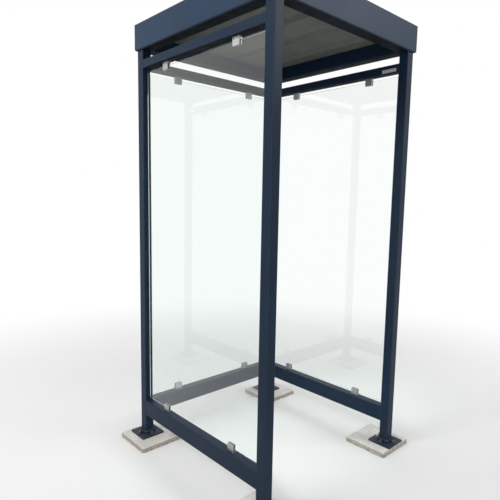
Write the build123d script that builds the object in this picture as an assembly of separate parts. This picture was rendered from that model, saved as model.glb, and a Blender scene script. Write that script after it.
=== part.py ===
from build123d import *
import os

os.makedirs("parts", exist_ok=True)

# Ticket machine shelter: a square steel frame on four concrete blocks, glazed on three
# sides and open at the front, under a flat roof with a deep folded fascia.
# Millimetres, +Z up, ground at Z = 0, front towards -Y, origin at the middle of the plan.

# Frame, measured over the outer faces of the posts
frame_width = 1200.0
frame_depth = 1200.0

# Posts
post_size = 60.0
post_wall = 3.0
post_corner = 5.0
post_length = 2487.0

# Concrete blocks, as far as they stand out of the ground
footing_size = 290.0
footing_height = 30.0
footing_edge = 4.0
# Each block lies a little off its post, as it was set by hand
footing_offset = {
    "front_left": (-3.0, 35.0),
    "front_right": (-8.0, 62.0),
    "rear_left": (7.0, -35.0),
    "rear_right": (3.0, -35.0),
}

# Base plates, each with a collar round the post's foot
plate_size = 160.0
plate_thickness = 10.0
plate_corner = 4.0
plate_edge = 1.0
anchor_count = 4
anchor_size = 12.0
anchor_hole_clearance = 2.0
anchor_circle_diameter = 114.0
collar_wall = 10.0
collar_height = 17.0
collar_edge = 2.0
collar_clearance = 0.5

# Rails between the posts
rail_width = 60.0
rail_wall = 3.0
rail_corner = 5.0
bottom_rail_height = 100.0
bottom_rail_lift = 131.0
top_rail_height = 50.0
top_rail_drop = 59.0

# Glass panes
glass_thickness = 8.0
glass_side_gap = 15.0
glass_rail_gap = 22.0
glass_arris = 0.8

# Glass clamps, four to a pane
clamp_width = 50.0
clamp_height = 46.0
clamp_plate = 5.5
clamp_web = 18.0
clamp_corner = 3.0
clamp_edge = 0.8
clamp_spacing = 632.0
gasket_thickness = 1.5
gasket_inset = 1.0

# Roof beams, tube centred over the posts
beam_width = 80.0
beam_height = 90.0
beam_wall = 3.0
beam_corner = 8.0

# Fascia, folded sheet round the beams
fascia_lift = 6.0
fascia_height = 151.0
fascia_sheet = 2.0
fascia_bend = 3.0
fascia_flange = 40.0
fascia_hem = 12.0

# Roof deck, trapezoidal sheet that lies on the beams
deck_sheet = 1.0
deck_edge_gap = 4.0
rib_count = 4
rib_pitch = 267.0
rib_height = 30.0
rib_foot = 70.0
rib_crown = 34.0

# Heights worked out from the sizes above
plate_z = footing_height
post_z = plate_z + plate_thickness
beam_z = post_z + post_length
bottom_rail_z = post_z + bottom_rail_lift
top_rail_z = beam_z - top_rail_drop - top_rail_height
deck_z = beam_z + beam_height
fascia_z = beam_z + fascia_lift
glass_z = bottom_rail_z + bottom_rail_height + glass_rail_gap
glass_top_z = top_rail_z - glass_rail_gap

# Half distances between the centre lines of the posts
half_x = (frame_width - post_size) / 2
half_y = (frame_depth - post_size) / 2

# The four corners, as signs of X and Y
corners = {
    "front_left": (-1, -1),
    "front_right": (1, -1),
    "rear_left": (-1, 1),
    "rear_right": (1, 1),
}

# A side is drawn with X along it, Y pointing outwards from the posts' centre line, Z up,
# then turned by its angle and pushed out by its distance from the middle of the plan
side_angle = {"front": 180, "rear": 0, "left": 90, "right": -90}
side_distance = {"front": half_y, "rear": half_y, "left": half_x, "right": half_x}
side_half_length = {"front": half_x, "rear": half_x, "left": half_y, "right": half_y}
glazed_sides = ("left", "rear", "right")


def save(name, shape):
    """Write one sub-part, whether one solid or several that do not touch."""
    shape.label = name
    export_step(shape, f"parts/{name}.step")


def corner_point(name):
    """Centre of the post at a corner, on the ground."""
    sign_x, sign_y = corners[name]
    return sign_x * half_x, sign_y * half_y


def on_side(name, shape):
    """Move a piece drawn on a side's own axes to its place."""
    return Rot(0, 0, side_angle[name]) * Pos(0, side_distance[name], 0) * shape


def tube_section(width, height, corner, wall):
    """Rectangular hollow section, rounded outside and square inside."""
    outer = RectangleRounded(width, height, corner)
    return outer - Rectangle(width - 2 * wall, height - 2 * wall)


def along_side(section, length):
    """Extrude a section, drawn as outward by up, along a side and centred on it."""
    return extrude(Plane.YZ * section, amount=length / 2, both=True)


def mitred(section, half_length):
    """Run a section along a side and mitre both ends at 45 degrees to its neighbours."""
    spare = 2 * beam_width
    bar = along_side(section, 2 * (half_length + spare))
    bar = split(bar, Plane(origin=(half_length, 0, 0), z_dir=(1, -1, 0)), keep=Keep.BOTTOM)
    return split(bar, Plane(origin=(-half_length, 0, 0), z_dir=(-1, -1, 0)), keep=Keep.BOTTOM)


def anchor_points():
    """Centres of the anchors, in the middle of each edge of the plate."""
    return PolarLocations(anchor_circle_diameter / 2, anchor_count)


def footing():
    """Concrete block, as far as it stands out of the ground."""
    block = Pos(0, 0, footing_height / 2) * Box(footing_size, footing_size, footing_height)
    upper = block.edges().group_by(Axis.Z)[-1]
    return chamfer(upper, footing_edge)


def base_plate():
    """Square plate with four anchor holes and a raised collar that the post stands in."""
    outline = Rectangle(plate_size, plate_size)
    outline = chamfer(outline.vertices(), plate_corner)
    hole_radius = (anchor_size + anchor_hole_clearance) / 2
    for spot in anchor_points():
        outline -= spot * Circle(hole_radius)
    plate = extrude(outline, amount=plate_thickness)
    rim = plate.faces().sort_by(Axis.Z)[-1].outer_wire().edges()
    plate = chamfer(rim, plate_edge)
    socket = post_size + 2 * collar_clearance
    outer = socket + 2 * collar_wall
    ring = RectangleRounded(outer, outer, post_corner + collar_wall)
    collar = extrude(ring, amount=collar_height)
    collar = chamfer(collar.faces().sort_by(Axis.Z)[-1].outer_wire().edges(), collar_edge)
    collar -= extrude(Rectangle(socket, socket), amount=collar_height)
    return plate + Pos(0, 0, plate_thickness) * collar


def post():
    """Square tube from the base plate to the roof beams."""
    section = tube_section(post_size, post_size, post_corner, post_wall)
    return extrude(section, amount=post_length)


def rail(side, height):
    """Rectangular tube that butts against the posts at both ends."""
    section = tube_section(rail_width, height, rail_corner, rail_wall)
    return along_side(Pos(0, height / 2) * section, 2 * side_half_length[side] - post_size)


def glass_pane(side):
    """One clear sheet with its arrises taken off."""
    width = 2 * side_half_length[side] - post_size - 2 * glass_side_gap
    height = glass_top_z - glass_z
    pane = Box(width, glass_thickness, height)
    pane = chamfer(pane.edges().filter_by(Axis.Y, reverse=True), glass_arris)
    return Pos(0, 0, glass_z + height / 2) * pane


def clamp_half_depth():
    """Half the thickness of a closed clamp over the glass."""
    return glass_thickness / 2 + gasket_thickness + clamp_plate


def eased(plate):
    """Round the two free corners of a clamp plate and break its outer edges."""
    free = plate.edges().filter_by(Axis.Y).group_by(Axis.Z)[-1]
    return fillet(free, clamp_corner)


def clamp_body():
    """Inner plate of a clamp with the web that stands on the rail."""
    depth = clamp_half_depth()
    back = Pos(0, -depth + clamp_plate / 2, clamp_height / 2) * Box(clamp_width, clamp_plate, clamp_height)
    back = eased(back)
    web_depth = 2 * (depth - clamp_plate)
    web = Pos(0, 0, clamp_web / 2) * Box(clamp_width, web_depth, clamp_web)
    rim = back.faces().sort_by(Axis.Y)[0].outer_wire().edges()
    return chamfer(rim, clamp_edge) + web


def clamp_cover():
    """Outer plate of a clamp, screwed to the web."""
    depth = clamp_half_depth()
    cover = Pos(0, depth - clamp_plate / 2, clamp_height / 2) * Box(clamp_width, clamp_plate, clamp_height)
    cover = eased(cover)
    rim = cover.faces().sort_by(Axis.Y)[-1].outer_wire().edges()
    return chamfer(rim, clamp_edge)


def clamp_gasket():
    """Rubber channel that holds the glass edge off the metal."""
    outer_depth = glass_thickness + 2 * gasket_thickness
    seat_z = glass_rail_gap
    top_z = clamp_height - gasket_inset
    channel = Pos(0, (clamp_web + top_z) / 2) * Rectangle(outer_depth, top_z - clamp_web)
    channel -= Pos(0, (seat_z + top_z) / 2) * Rectangle(glass_thickness, top_z - seat_z)
    return along_side(channel, clamp_width - 2 * gasket_inset)


def clamps_on(side, piece):
    """The four copies of a clamp piece on a pane: two on the bottom rail, two hung under the top rail."""
    lower_z = bottom_rail_z + bottom_rail_height
    hung = mirror(piece, about=Plane.XY)
    copies = []
    for x in (-clamp_spacing / 2, clamp_spacing / 2):
        copies.append(on_side(side, Pos(x, 0, lower_z) * piece))
        copies.append(on_side(side, Pos(x, 0, top_rail_z) * hung))
    return Compound(copies)


def beam(side):
    """Roof beam, mitred at the corners."""
    section = tube_section(beam_width, beam_height, beam_corner, beam_wall)
    section = Pos(0, beam_z + beam_height / 2) * section
    return on_side(side, mitred(section, side_half_length[side]))


def fascia_section():
    """Folded sheet: tall face against the beam, flange over the roof edge and its hem."""
    face_y = beam_width / 2 + fascia_sheet
    hem_y = face_y - fascia_flange
    top_z = fascia_z + fascia_height
    outside = FilletPolyline(
        (face_y, fascia_z),
        (face_y, top_z),
        (hem_y, top_z),
        (hem_y, top_z - fascia_hem),
        radius=fascia_bend,
    )
    return make_face(offset(outside, amount=fascia_sheet, side=Side.LEFT, closed=True))


def fascia(side):
    """One length of fascia, mitred at the corners."""
    return on_side(side, mitred(fascia_section(), side_half_length[side]))


def deck():
    """Trapezoidal sheet with its ribs running from front to rear."""
    half_width = half_x + beam_width / 2 - deck_edge_gap
    depth = 2 * (half_y + beam_width / 2 - deck_edge_gap)
    points = [(-half_width, 0)]
    for index in range(rib_count):
        middle = (index - (rib_count - 1) / 2) * rib_pitch
        points.append((middle - rib_foot / 2, 0))
        points.append((middle - rib_crown / 2, rib_height))
        points.append((middle + rib_crown / 2, rib_height))
        points.append((middle + rib_foot / 2, 0))
    points.append((half_width, 0))
    underside = Polyline(*points)
    section = make_face(offset(underside, amount=deck_sheet, side=Side.LEFT, closed=True))
    return Pos(0, 0, deck_z) * extrude(Plane.XZ * section, amount=depth / 2, both=True)


for corner in corners:
    x, y = corner_point(corner)
    offset_x, offset_y = footing_offset[corner]
    save(f"footing_{corner}", Pos(x + offset_x, y + offset_y, 0) * footing())
    save(f"base_plate_{corner}", Pos(x, y, plate_z) * base_plate())
    save(f"post_{corner}", Pos(x, y, post_z) * post())

for side in glazed_sides:
    save(f"bottom_rail_{side}", on_side(side, Pos(0, 0, bottom_rail_z) * rail(side, bottom_rail_height)))
    save(f"top_rail_{side}", on_side(side, Pos(0, 0, top_rail_z) * rail(side, top_rail_height)))
    save(f"glass_{side}", on_side(side, glass_pane(side)))
    save(f"clamp_bodies_{side}", clamps_on(side, clamp_body()))
    save(f"clamp_covers_{side}", clamps_on(side, clamp_cover()))
    save(f"clamp_gaskets_{side}", clamps_on(side, clamp_gasket()))

for side in side_angle:
    save(f"roof_beam_{side}", beam(side))
    save(f"fascia_{side}", fascia(side))

save("roof_deck", deck())
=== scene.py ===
import math

import bmesh
import bpy
from bpy.props import FloatProperty, FloatVectorProperty, IntProperty, PointerProperty
from mathutils import Matrix, Vector, noise


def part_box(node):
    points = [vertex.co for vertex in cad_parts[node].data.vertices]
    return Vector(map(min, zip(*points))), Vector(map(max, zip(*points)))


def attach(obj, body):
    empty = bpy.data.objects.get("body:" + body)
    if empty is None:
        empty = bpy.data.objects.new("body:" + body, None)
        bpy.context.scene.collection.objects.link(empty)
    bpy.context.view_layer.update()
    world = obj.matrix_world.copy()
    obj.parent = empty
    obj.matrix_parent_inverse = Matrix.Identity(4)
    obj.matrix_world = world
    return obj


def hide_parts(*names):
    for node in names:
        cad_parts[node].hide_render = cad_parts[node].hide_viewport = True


bl_info = {
    "name": "Ticket Machine Shelter",
    "version": (1, 0, 0),
    "blender": (4, 5, 0),
    "location": "3D View > Sidebar > Shelter",
    "description": "Finishes, small fasteners and studio for a glazed steel shelter",
    "category": "Object",
}

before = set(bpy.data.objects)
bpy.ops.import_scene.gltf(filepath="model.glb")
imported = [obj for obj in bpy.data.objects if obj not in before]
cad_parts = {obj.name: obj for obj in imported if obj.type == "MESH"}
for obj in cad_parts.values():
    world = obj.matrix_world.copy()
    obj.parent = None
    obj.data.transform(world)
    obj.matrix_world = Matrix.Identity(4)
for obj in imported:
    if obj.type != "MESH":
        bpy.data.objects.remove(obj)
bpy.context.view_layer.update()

CORNERS = ("front_left", "front_right", "rear_left", "rear_right")
GLAZED_SIDES = ("left", "rear", "right")
SIDES = ("front", "rear", "left", "right")
OUTWARD = {
    "front": Vector((0, -1, 0)),
    "rear": Vector((0, 1, 0)),
    "left": Vector((-1, 0, 0)),
    "right": Vector((1, 0, 0)),
}
UP = Vector((0, 0, 1))

# Corners of a square, in order round it
SQUARE = ((-1, -1), (1, -1), (1, 1), (-1, 1))

# Sizes within the solids that their boxes don't give, in metres
PLATE_THICKNESS = 0.01
CLAMP_WIDTH = 0.05
DECK_SHEET = 0.001
RIB_PITCH = 0.267


# Settings


class ShelterPaintSettings(bpy.types.PropertyGroup):
    """Colours and grain of the coated steel."""

    frame_colour: FloatVectorProperty(
        name="Frame colour", description="Powder coat on the posts, rails and beams",
        subtype="COLOR", min=0, max=1, default=(0.0088, 0.0212, 0.043))
    fascia_colour: FloatVectorProperty(
        name="Fascia colour", description="Coated sheet round the roof",
        subtype="COLOR", min=0, max=1, default=(0.0175, 0.0375, 0.073))
    deck_colour: FloatVectorProperty(
        name="Deck colour", description="Coated sheet of the roof deck",
        subtype="COLOR", min=0, max=1, default=(0.174, 0.179, 0.163))
    dust_colour: FloatVectorProperty(
        name="Dust colour", description="Dust and dried splashes on the steel",
        subtype="COLOR", min=0, max=1, default=(0.3, 0.275, 0.235))
    # Painted highlight along the rounded edges, which also stands for coat rubbed thin there
    arris_highlight_colour: FloatVectorProperty(
        name="Rubbed colour", description="Coat that is rubbed thin along edges",
        subtype="COLOR", min=0, max=1, default=(0.062, 0.074, 0.094))
    peel_size: FloatProperty(
        name="Peel size", description="Width of one dimple in the powder coat",
        unit="LENGTH", min=0.0005, max=0.02, default=0.0022)
    splash_reach: FloatProperty(
        name="Splash reach", description="How high above the ground splashes dirty the steel",
        unit="LENGTH", min=0, max=1, default=0.32)


class ShelterMineralSettings(bpy.types.PropertyGroup):
    """Colours of the glass and rubber, and the colours, grain and wear of the concrete."""

    glass_tint: FloatVectorProperty(
        name="Glass tint", description="What the clear panes do to light that passes",
        subtype="COLOR", min=0, max=1, default=(0.965, 0.985, 0.975))
    rubber_colour: FloatVectorProperty(
        name="Rubber colour", description="Gaskets and sealing washers",
        subtype="COLOR", min=0, max=1, default=(0.02, 0.02, 0.02))
    concrete_colour: FloatVectorProperty(
        name="Concrete colour", description="Dry face of the concrete blocks",
        subtype="COLOR", min=0, max=1, default=(0.77, 0.755, 0.735))
    earth_colour: FloatVectorProperty(
        name="Earth colour", description="Sand and earth that clings to the blocks",
        subtype="COLOR", min=0, max=1, default=(0.3, 0.25, 0.19))
    block_grain: FloatProperty(
        name="Block grain", description="Spacing of the points on the cast blocks",
        unit="LENGTH", min=0.002, max=0.02, default=0.0042)
    block_wear: FloatProperty(
        name="Block wear", description="How far the edges of the cast blocks are worn round",
        unit="LENGTH", min=0.0005, max=0.01, default=0.0035)
    stone_size: FloatProperty(
        name="Stone size", description="Width of the stones that show in the concrete",
        unit="LENGTH", min=0.001, max=0.05, default=0.006)


class ShelterMetalSettings(bpy.types.PropertyGroup):
    """Colours of the bare metal."""

    clamp_colour: FloatVectorProperty(
        name="Clamp colour", description="Satin metal of the glass clamps",
        subtype="COLOR", min=0, max=1, default=(0.45, 0.452, 0.455))
    # Kept darker than bare zinc: painted shade on every anchor, nut, washer and deck screw
    zinc_colour: FloatVectorProperty(
        name="Zinc colour", description="Galvanised anchors, nuts, washers and deck screws",
        subtype="COLOR", min=0, max=1, default=(0.15, 0.152, 0.156))
    # Painted highlight: bright zinc laid round one nut, for its glint
    glint_zinc_colour: FloatVectorProperty(
        name="New zinc colour", description="The one nut that was renewed and is still bright",
        subtype="COLOR", min=0, max=1, default=(0.72, 0.725, 0.735))
    screw_colour: FloatVectorProperty(
        name="Screw colour", description="Blackened screws in the clamps",
        subtype="COLOR", min=0, max=1, default=(0.06, 0.06, 0.063))
    label_colour: FloatVectorProperty(
        name="Label colour", description="Bare plate on the right top rail",
        subtype="COLOR", min=0, max=1, default=(0.84, 0.87, 0.91))


class ShelterFastenerSettings(bpy.types.PropertyGroup):
    """Sizes of the anchors, screws, rivets and welds."""

    anchor_circle: FloatProperty(
        name="Anchor circle", description="Diameter of the circle through the anchors of one plate",
        unit="LENGTH", min=0.05, max=0.3, default=0.114)
    anchor_count: IntProperty(
        name="Anchors to a plate", description="How many anchors hold one base plate",
        min=2, max=8, default=4)
    anchor_diameter: FloatProperty(
        name="Anchor diameter", description="Outer diameter of the anchor's thread",
        unit="LENGTH", min=0.004, max=0.03, default=0.012)
    anchor_pitch: FloatProperty(
        name="Anchor pitch", description="Rise of the anchor's thread in one turn",
        unit="LENGTH", min=0.0005, max=0.004, default=0.00175)
    anchor_tail: FloatProperty(
        name="Anchor tail", description="Thread that stands out above the nut",
        unit="LENGTH", min=0, max=0.05, default=0.005)
    nut_width: FloatProperty(
        name="Nut width", description="Anchor nut across its flats",
        unit="LENGTH", min=0.008, max=0.05, default=0.018)
    nut_height: FloatProperty(
        name="Nut height", description="Anchor nut from washer to top",
        unit="LENGTH", min=0.004, max=0.03, default=0.0104)
    washer_width: FloatProperty(
        name="Washer width", description="Outer diameter of the washer under a nut",
        unit="LENGTH", min=0.01, max=0.06, default=0.024)
    washer_thickness: FloatProperty(
        name="Washer thickness", description="Thickness of the washer under a nut",
        unit="LENGTH", min=0.001, max=0.006, default=0.0025)
    clamp_screw_spacing: FloatProperty(
        name="Clamp screw spacing", description="Distance between the two screws of a clamp",
        unit="LENGTH", min=0.01, max=0.04, default=0.026)
    clamp_screw_lift: FloatProperty(
        name="Clamp screw lift", description="Distance from the rail to the screws of a clamp",
        unit="LENGTH", min=0.005, max=0.02, default=0.0105)
    clamp_screw_width: FloatProperty(
        name="Clamp screw width", description="Diameter of a clamp screw's head",
        unit="LENGTH", min=0.004, max=0.014, default=0.008)
    deck_screw_width: FloatProperty(
        name="Deck screw width", description="Hexagon head of a deck screw across its flats",
        unit="LENGTH", min=0.005, max=0.015, default=0.008)
    weld_leg: FloatProperty(
        name="Weld leg", description="Radius of the weld beads between rails and posts",
        unit="LENGTH", min=0.001, max=0.006, default=0.0024)
    weld_ripple: FloatProperty(
        name="Weld ripple", description="Distance between two ripples of a weld bead",
        unit="LENGTH", min=0.001, max=0.01, default=0.0026)
    label_length: FloatProperty(
        name="Label length", description="Length of the bare plate on the right top rail",
        unit="LENGTH", min=0.03, max=0.3, default=0.098)
    label_height: FloatProperty(
        name="Label height", description="Height of the bare plate on the right top rail",
        unit="LENGTH", min=0.01, max=0.04, default=0.021)


class ShelterStageSettings(bpy.types.PropertyGroup):
    """Camera, floor and the even light of the room."""

    camera_place: FloatVectorProperty(
        name="Camera place", description="Where the camera stands",
        subtype="TRANSLATION", unit="LENGTH", default=(-2.13431, -2.13549, 1.6422))
    camera_turn: FloatVectorProperty(
        name="Camera turn", description="How the camera is turned",
        subtype="EULER", unit="ROTATION",
        default=(math.radians(83.1196), math.radians(-1.0267), math.radians(-42.6163)))
    camera_shift: FloatVectorProperty(
        name="Camera shift", description="How far the picture is shifted right and up, in its own widths",
        size=2, default=(-0.0021, 0.0068))
    lens: FloatProperty(
        name="Lens", description="Focal length on a 36 mm wide sensor",
        unit="CAMERA", min=10, max=200, default=33.79)
    floor_colour: FloatVectorProperty(
        name="Floor colour", description="Pale floor round the shelter",
        subtype="COLOR", min=0, max=1, default=(0.86, 0.86, 0.857))
    floor_radius: FloatProperty(
        name="Floor radius", description="Radius of the floor", unit="LENGTH", min=5, max=100, default=40)
    room_light: FloatProperty(
        name="Room light", description="Strength of the even light from all round",
        min=0, max=2, default=0.58)


# Nodes


class Bench:
    """Adds nodes to one node tree, and sets or links their inputs."""

    def __init__(self, tree):
        self.tree = tree
        self.count = 0

    def add(self, kind, **settings):
        """Add one node and set its properties."""
        node = self.tree.nodes.new(kind)
        node.location = (200 * (self.count % 12), -260 * (self.count // 12))
        self.count += 1
        for key, value in settings.items():
            setattr(node, key, value)
        return node

    def feed(self, socket, value):
        """Link another socket to an input, or give the input a plain value."""
        if isinstance(value, bpy.types.NodeSocket):
            self.tree.links.new(value, socket)
        else:
            socket.default_value = value

    def filled(self, kind, inputs, **settings):
        """Add one node with some of its inputs set or linked by name or place."""
        node = self.add(kind, **settings)
        for key, value in inputs.items():
            self.feed(node.inputs[key], value)
        return node

    def sum(self, operation, first, second=0.0, clamp=False):
        """One step of arithmetic."""
        inputs = {0: first, 1: second}
        return self.filled("ShaderNodeMath", inputs, operation=operation, use_clamp=clamp).outputs[0]

    def times(self, first, second):
        """Product of two values."""
        return self.sum("MULTIPLY", first, second)

    def plus(self, first, second):
        """Sum of two values."""
        return self.sum("ADD", first, second)

    def span(self, value, low, high, to_low=0.0, to_high=1.0):
        """Map a range of a value smoothly to another range."""
        inputs = {"Value": value, "From Min": low, "From Max": high, "To Min": to_low, "To Max": to_high}
        return self.filled("ShaderNodeMapRange", inputs, interpolation_type="SMOOTHSTEP").outputs[0]

    def tint(self, share, first, second):
        """Mix two colours."""
        inputs = {0: share, 6: first, 7: second}
        return self.filled("ShaderNodeMix", inputs, data_type="RGBA").outputs[2]

    def layered(self, base, *layers):
        """Lay colours over a base, each given as its mask, its share and the colour."""
        for mask, share, colour in layers:
            base = self.tint(self.times(mask, share), base, colour)
        return base

    def added(self, base, *parts):
        """Add masks to a base, each given with its share."""
        for mask, share in parts:
            base = self.plus(base, self.times(mask, share))
        return base

    def place(self):
        """Object coordinates, which are the shelter's own metres."""
        return self.add("ShaderNodeTexCoord").outputs["Object"]

    def normal(self):
        """The way the surface faces."""
        return self.add("ShaderNodeNewGeometry").outputs["Normal"]

    def height(self, vector):
        """The upward part of a vector."""
        return self.filled("ShaderNodeSeparateXYZ", {0: vector}).outputs["Z"]

    def stretched(self, vector, factors):
        """Scale a vector by a factor for each axis."""
        return self.filled("ShaderNodeVectorMath", {0: vector, 1: factors}, operation="MULTIPLY").outputs[0]

    def noise(self, vector, scale, detail, roughness):
        """Cloudy noise from 0 to 1."""
        inputs = {"Vector": vector, "Scale": scale, "Detail": detail, "Roughness": roughness}
        return self.filled("ShaderNodeTexNoise", inputs).outputs[0]

    def cells(self, vector, scale):
        """Cells round scattered points: the node, with its distance and its colour."""
        return self.filled("ShaderNodeTexVoronoi", {"Vector": vector, "Scale": scale})

    def effect(self, name, **values):
        """Place a shader group with its own values; underscores stand for spaces."""
        node = self.add("ShaderNodeGroup", node_tree=bpy.data.node_groups[name])
        for key, value in values.items():
            self.feed(node.inputs[key.replace("_", " ")], value)
        return node.outputs[0]


def shade(colour, factor=1.0):
    """A colour made darker or lighter, with its alpha."""
    return tuple(min(1.0, channel * factor) for channel in colour[:3]) + (1.0,)


def opened(tree):
    """Start a node tree: its bench, its input sockets and its first output socket."""
    bench = Bench(tree)
    given = bench.add("NodeGroupInput").outputs
    taken = bench.add("NodeGroupOutput").inputs[0]
    return bench, given, taken


def shader_group(name, inputs, output):
    """Start a shader group from the plain values of its inputs and the name of its one output."""
    tree = bpy.data.node_groups.new(name, "ShaderNodeTree")
    for label, value in inputs.items():
        kind = "NodeSocketVector" if isinstance(value, tuple) else "NodeSocketFloat"
        tree.interface.new_socket(label, in_out="INPUT", socket_type=kind).default_value = value
    tree.interface.new_socket(output, in_out="OUTPUT", socket_type="NodeSocketFloat")
    return opened(tree)


def cloud_group():
    """Soft patches, which may be stretched along an axis."""
    inputs = {"Scale": 1.0, "Detail": 3.0, "Low": 0.35, "High": 0.65, "Stretch": (1.0, 1.0, 1.0)}
    bench, given, mask = shader_group("Soft Patches", inputs, "Mask")
    vector = bench.stretched(bench.place(), given["Stretch"])
    cloud = bench.noise(vector, given["Scale"], given["Detail"], 0.55)
    bench.feed(mask, bench.span(cloud, given["Low"], given["High"]))


def peel_group():
    """Dimples of a sprayed and baked coat."""
    bench, given, height = shader_group("Orange Peel", {"Size": 0.002}, "Height")
    scale = bench.sum("DIVIDE", 0.6, given["Size"])
    coarse = bench.noise(bench.place(), scale, 1.0, 0.4)
    fine = bench.noise(bench.place(), bench.times(scale, 3.1), 1.0, 0.4)
    bench.feed(height, bench.plus(bench.times(coarse, 0.75), bench.times(fine, 0.25)))


def dust_group():
    """Dust that lies on upward faces, and splashes that thin out above the ground."""
    inputs = {"Lying": 0.3, "Splashed": 0.3, "Reach": 0.3, "Scale": 30.0}
    bench, given, mask = shader_group("Settled Dust", inputs, "Mask")
    place = bench.place()
    upward = bench.span(bench.height(bench.normal()), 0.5, 0.98)
    patches = bench.span(bench.noise(place, given["Scale"], 5.0, 0.65), 0.3, 0.75)
    drops = bench.span(bench.noise(place, bench.times(given["Scale"], 7.0), 3.0, 0.7), 0.48, 0.72)
    low = bench.sum("POWER", bench.span(bench.height(place), given["Reach"], 0.0), 2.0)
    lying = bench.times(bench.times(upward, given["Lying"]), bench.plus(bench.times(patches, 0.7), 0.2))
    wet = bench.plus(bench.times(patches, 0.35), bench.times(drops, 0.75))
    splashed = bench.times(bench.times(low, given["Splashed"]), wet)
    bench.feed(mask, bench.sum("MAXIMUM", lying, splashed, clamp=True))


def run_group():
    """Faint upright runs that rain leaves."""
    bench, given, mask = shader_group("Rain Runs", {"Scale": 60.0, "Share": 0.5}, "Mask")
    vector = bench.stretched(bench.place(), (1.0, 1.0, 0.035))
    runs = bench.noise(vector, given["Scale"], 4.0, 0.6)
    broken = bench.noise(bench.place(), 4.0, 2.0, 0.5)
    low = bench.sum("SUBTRACT", 0.8, bench.times(given["Share"], 0.45))
    bench.feed(mask, bench.times(bench.span(runs, low, bench.plus(low, 0.2)), bench.span(broken, 0.35, 0.65)))


def scratch_group():
    """Hair-thin rubbed lines that come and go."""
    inputs = {"Scale": 90.0, "Width": 0.012, "Stretch": (1.0, 0.06, 0.06)}
    bench, given, mask = shader_group("Hair Scratches", inputs, "Mask")
    place = bench.place()
    field = bench.noise(bench.stretched(place, given["Stretch"]), given["Scale"], 2.0, 0.6)
    off = bench.sum("ABSOLUTE", bench.sum("SUBTRACT", field, 0.5))
    line = bench.span(off, given["Width"], 0.0)
    gate = bench.span(bench.noise(place, bench.times(given["Scale"], 0.35), 2.0, 0.5), 0.45, 0.62)
    bench.feed(mask, bench.times(line, gate))


def arris_highlight_group():
    """Painted highlight along the rounded corners of tubes and folded sheet, found by their slanting normals;
    it also stands for coat rubbed thin there.
    """
    inputs = {"Least Slant": 0.04, "Full Slant": 0.2, "Scale": 40.0}
    bench, given, mask = shader_group("Arris Highlight And Wear", inputs, "Mask")
    size = bench.filled("ShaderNodeVectorMath", {0: bench.normal()}, operation="ABSOLUTE").outputs[0]
    parts = bench.filled("ShaderNodeSeparateXYZ", {0: size}).outputs
    largest = bench.sum("MAXIMUM", bench.sum("MAXIMUM", parts[0], parts[1]), parts[2])
    slant = bench.span(bench.sum("SUBTRACT", 1.0, largest), given["Least Slant"], given["Full Slant"])
    broken = bench.span(bench.noise(bench.place(), given["Scale"], 4.0, 0.6), 0.3, 0.6)
    bench.feed(mask, bench.times(slant, bench.plus(bench.times(broken, 0.5), 0.5)))


def underside_shade_group():
    """Painted shade on downward faces: a mask of them, broken by soft patches."""
    bench, given, mask = shader_group("Painted Underside Shade", {"Scale": 9.0}, "Mask")
    downward = bench.span(bench.height(bench.normal()), -0.45, -0.95)
    patches = bench.span(bench.noise(bench.place(), given["Scale"], 5.0, 0.6), 0.3, 0.7)
    bench.feed(mask, bench.times(downward, bench.plus(bench.times(patches, 0.25), 0.75)))


def speck_group():
    """Scattered round specks, each a cell of its own size."""
    bench, given, mask = shader_group("Scattered Specks", {"Scale": 200.0, "Size": 0.3, "Share": 0.3}, "Mask")
    cell = bench.cells(bench.place(), given["Scale"])
    pick = bench.filled("ShaderNodeSeparateColor", {0: cell.outputs["Color"]}).outputs
    size = bench.times(given["Size"], bench.plus(bench.times(pick[1], 0.8), 0.3))
    speck = bench.span(cell.outputs["Distance"], size, bench.times(size, 0.55))
    chosen = bench.sum("LESS_THAN", pick[0], given["Share"])
    bench.feed(mask, bench.times(speck, chosen))


def build_effects():
    """Make every shader group that the finishes share."""
    for build in (
            cloud_group, peel_group, dust_group, run_group, scratch_group,
            arris_highlight_group, underside_shade_group, speck_group):
        build()


def start_material(name, **plain):
    """A new material: its bench and its Principled shader, with the plain values set on the shader."""
    material = bpy.data.materials.new(name)
    material.use_nodes = True
    bench = Bench(material.node_tree)
    shader = material.node_tree.nodes["Principled BSDF"]
    for key, value in plain.items():
        shader.inputs[key.replace("_", " ")].default_value = value
    return material, bench, shader


def bump(bench, shader, height, distance):
    """Drive the shader's normal from a height."""
    node = bench.filled("ShaderNodeBump", {"Height": height, "Distance": distance})
    bench.feed(shader.inputs["Normal"], node.outputs["Normal"])


# Finishes


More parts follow.
